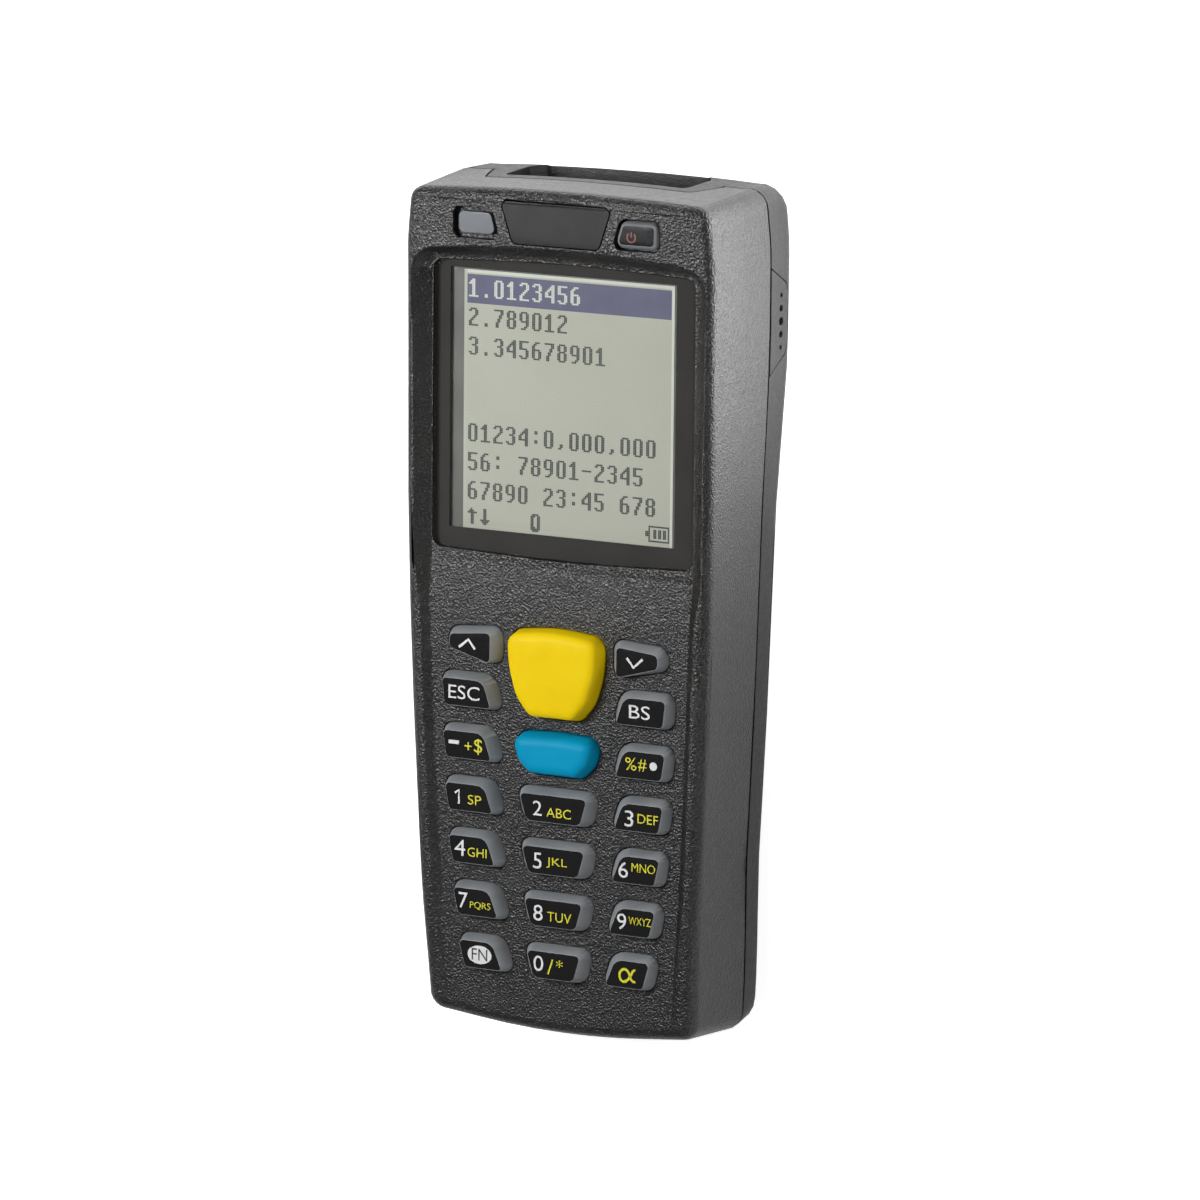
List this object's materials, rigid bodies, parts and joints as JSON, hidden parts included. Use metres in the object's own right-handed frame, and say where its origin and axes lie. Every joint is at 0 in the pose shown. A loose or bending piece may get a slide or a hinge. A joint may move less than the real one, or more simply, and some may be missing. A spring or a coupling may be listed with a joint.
{
  "type": "portable barcode data terminal",
  "caption": "Handheld barcode data terminal with a display under a flush lens, a rubber keypad, a scan window in its head and a sliding battery door on its back.",
  "frame": {"origin": "middle of the footprint on the plane the back rests on", "axes": "+Y along the body towards the scan head, +Z out of the display, +X to the right as the keys are read"},
  "size_m": [0.057, 0.1324, 0.0256],
  "materials": {
    "textured_case": "fine leather-like moulded grain",
    "rear_case": "finer moulded grain",
    "lens": "clear hard-coated lens with a dark printed border",
    "lcd": "reflective display, dark characters",
    "white_frame": "white moulding",
    "ribbon": "amber film",
    "board": "green solder mask",
    "sheet_metal": "tinned sheet",
    "chip": "black moulding",
    "key_rubber": "grey-blue rubber wall under a glossy black cap",
    "dome_metal": "nickel-plated domes",
    "badge": "smooth blank plate",
    "frosted": "frosted light guide",
    "led": "white package",
    "scan_glass": "dark red filter window",
    "seal": "black foam",
    "optics": "coated lens",
    "scan_led": "red emitters",
    "battery_wrap": "blue-grey film wrap",
    "gold": "gold plating",
    "screw_steel": "zinc-plated steel",
    "yellow_key": "satin yellow rubber",
    "blue_key": "satin blue rubber"
  },
  "bodies": {
    "case": {"front_cover": "textured_case", "rear_cover": "rear_case", "display_lens": "lens", "lcd_panel": "lcd", "lcd_frame": "white_frame", "lcd_ribbon": "ribbon", "main_board": "board", "processor_shield": "sheet_metal", "memory_chips": "chip", "keypad_web": "key_rubber", "key_domes": "dome_metal", "badge_plate": "badge", "indicator_window": "frosted", "status_led": "led", "scan_window": "scan_glass", "window_seal": "seal", "scan_engine": "chip", "scan_lens": "optics", "scan_leds": "scan_led", "buzzer": "chip", "buzzer_grille": "rear_case", "battery_pack": "battery_wrap", "battery_contacts": "gold", "charge_contacts": "gold", "coin_cell": "sheet_metal", "coin_cell_clip": "sheet_metal", "case_screws": "screw_steel"},
    "battery_door": {"battery_door": "rear_case"},
    "power_key": {"power_key": "key_rubber"},
    "scan_key": {"scan_key": "yellow_key"},
    "enter_key": {"enter_key": "blue_key"},
    "up_key": {"up_key": "key_rubber"},
    "down_key": {"down_key": "key_rubber"},
    "escape_key": {"escape_key": "key_rubber"},
    "backspace_key": {"backspace_key": "key_rubber"},
    "minus_key": {"minus_key": "key_rubber"},
    "percent_key": {"percent_key": "key_rubber"},
    "key_1": {"key_1": "key_rubber"},
    "key_2": {"key_2": "key_rubber"},
    "key_3": {"key_3": "key_rubber"},
    "key_4": {"key_4": "key_rubber"},
    "key_5": {"key_5": "key_rubber"},
    "key_6": {"key_6": "key_rubber"},
    "key_7": {"key_7": "key_rubber"},
    "key_8": {"key_8": "key_rubber"},
    "key_9": {"key_9": "key_rubber"},
    "key_0": {"key_0": "key_rubber"},
    "function_key": {"function_key": "key_rubber"},
    "alpha_key": {"alpha_key": "key_rubber"}
  },
  "joints": [
    {"name": "power_key_press", "type": "slide", "parent": "case", "child": "power_key", "axis": [0, 0, -1], "range_m": [0, 0.0008], "stiffness_N_per_m": 1200, "springref_m": -0.0004},
    {"name": "scan_key_press", "type": "slide", "parent": "case", "child": "scan_key", "axis": [0, 0, -1], "range_m": [0, 0.0008], "stiffness_N_per_m": 1200, "springref_m": -0.0004},
    {"name": "enter_key_press", "type": "slide", "parent": "case", "child": "enter_key", "axis": [0, 0, -1], "range_m": [0, 0.0008], "stiffness_N_per_m": 1200, "springref_m": -0.0004},
    {"name": "up_key_press", "type": "slide", "parent": "case", "child": "up_key", "axis": [0, 0, -1], "range_m": [0, 0.0008], "stiffness_N_per_m": 1200, "springref_m": -0.0004},
    {"name": "down_key_press", "type": "slide", "parent": "case", "child": "down_key", "axis": [0, 0, -1], "range_m": [0, 0.0008], "stiffness_N_per_m": 1200, "springref_m": -0.0004},
    {"name": "escape_key_press", "type": "slide", "parent": "case", "child": "escape_key", "axis": [0, 0, -1], "range_m": [0, 0.0008], "stiffness_N_per_m": 1200, "springref_m": -0.0004},
    {"name": "backspace_key_press", "type": "slide", "parent": "case", "child": "backspace_key", "axis": [0, 0, -1], "range_m": [0, 0.0008], "stiffness_N_per_m": 1200, "springref_m": -0.0004},
    {"name": "minus_key_press", "type": "slide", "parent": "case", "child": "minus_key", "axis": [0, 0, -1], "range_m": [0, 0.0008], "stiffness_N_per_m": 1200, "springref_m": -0.0004},
    {"name": "percent_key_press", "type": "slide", "parent": "case", "child": "percent_key", "axis": [0, 0, -1], "range_m": [0, 0.0008], "stiffness_N_per_m": 1200, "springref_m": -0.0004},
    {"name": "key_1_press", "type": "slide", "parent": "case", "child": "key_1", "axis": [0, 0, -1], "range_m": [0, 0.0008], "stiffness_N_per_m": 1200, "springref_m": -0.0004},
    {"name": "key_2_press", "type": "slide", "parent": "case", "child": "key_2", "axis": [0, 0, -1], "range_m": [0, 0.0008], "stiffness_N_per_m": 1200, "springref_m": -0.0004},
    {"name": "key_3_press", "type": "slide", "parent": "case", "child": "key_3", "axis": [0, 0, -1], "range_m": [0, 0.0008], "stiffness_N_per_m": 1200, "springref_m": -0.0004},
    {"name": "key_4_press", "type": "slide", "parent": "case", "child": "key_4", "axis": [0, 0, -1], "range_m": [0, 0.0008], "stiffness_N_per_m": 1200, "springref_m": -0.0004},
    {"name": "key_5_press", "type": "slide", "parent": "case", "child": "key_5", "axis": [0, 0, -1], "range_m": [0, 0.0008], "stiffness_N_per_m": 1200, "springref_m": -0.0004},
    {"name": "key_6_press", "type": "slide", "parent": "case", "child": "key_6", "axis": [0, 0, -1], "range_m": [0, 0.0008], "stiffness_N_per_m": 1200, "springref_m": -0.0004},
    {"name": "key_7_press", "type": "slide", "parent": "case", "child": "key_7", "axis": [0, 0, -1], "range_m": [0, 0.0008], "stiffness_N_per_m": 1200, "springref_m": -0.0004},
    {"name": "key_8_press", "type": "slide", "parent": "case", "child": "key_8", "axis": [0, 0, -1], "range_m": [0, 0.0008], "stiffness_N_per_m": 1200, "springref_m": -0.0004},
    {"name": "key_9_press", "type": "slide", "parent": "case", "child": "key_9", "axis": [0, 0, -1], "range_m": [0, 0.0008], "stiffness_N_per_m": 1200, "springref_m": -0.0004},
    {"name": "key_0_press", "type": "slide", "parent": "case", "child": "key_0", "axis": [0, 0, -1], "range_m": [0, 0.0008], "stiffness_N_per_m": 1200, "springref_m": -0.0004},
    {"name": "function_key_press", "type": "slide", "parent": "case", "child": "function_key", "axis": [0, 0, -1], "range_m": [0, 0.0008], "stiffness_N_per_m": 1200, "springref_m": -0.0004},
    {"name": "alpha_key_press", "type": "slide", "parent": "case", "child": "alpha_key", "axis": [0, 0, -1], "range_m": [0, 0.0008], "stiffness_N_per_m": 1200, "springref_m": -0.0004},
    {"name": "door_slide", "type": "slide", "parent": "case", "child": "battery_door", "axis": [0, -1, 0], "range_m": [0, 0.082]}
  ]
}
